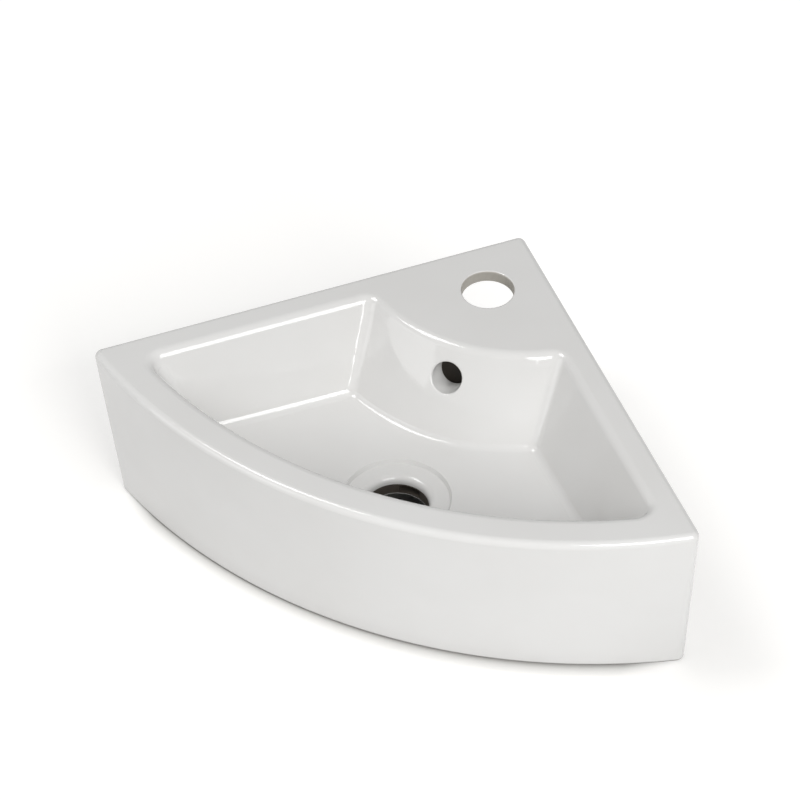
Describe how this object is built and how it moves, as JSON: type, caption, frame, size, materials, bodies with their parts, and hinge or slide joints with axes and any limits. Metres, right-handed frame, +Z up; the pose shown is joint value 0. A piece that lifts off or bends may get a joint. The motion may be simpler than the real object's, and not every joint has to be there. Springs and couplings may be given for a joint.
{
  "type": "corner basin",
  "caption": "Small wall-hung corner basin in white glazed ceramic, with a bowed front, a tap deck in the corner, a round overflow and a waste hole.",
  "frame": {"origin": "under the middle of the basin's box, at the level of the foot, in the plane that halves the basin", "axes": "+Z up, +Y toward the back corner, -Y toward the bowed front, +X toward the right wall"},
  "size_m": [0.4564, 0.305, 0.14],
  "materials": {
    "white_glaze": "high gloss",
    "bare_ware": "matt, unglazed"
  },
  "bodies": {
    "root": {"rim_and_deck": "white_glaze", "front_apron": "white_glaze", "left_side_wall": "white_glaze", "right_side_wall": "white_glaze", "bowl": "white_glaze", "waste_boss": "white_glaze", "overflow_boss": "white_glaze", "overflow_duct": "white_glaze", "left_web": "white_glaze", "right_web": "white_glaze", "left_fixing_pad": "bare_ware", "right_fixing_pad": "bare_ware"}
  },
  "joints": []
}
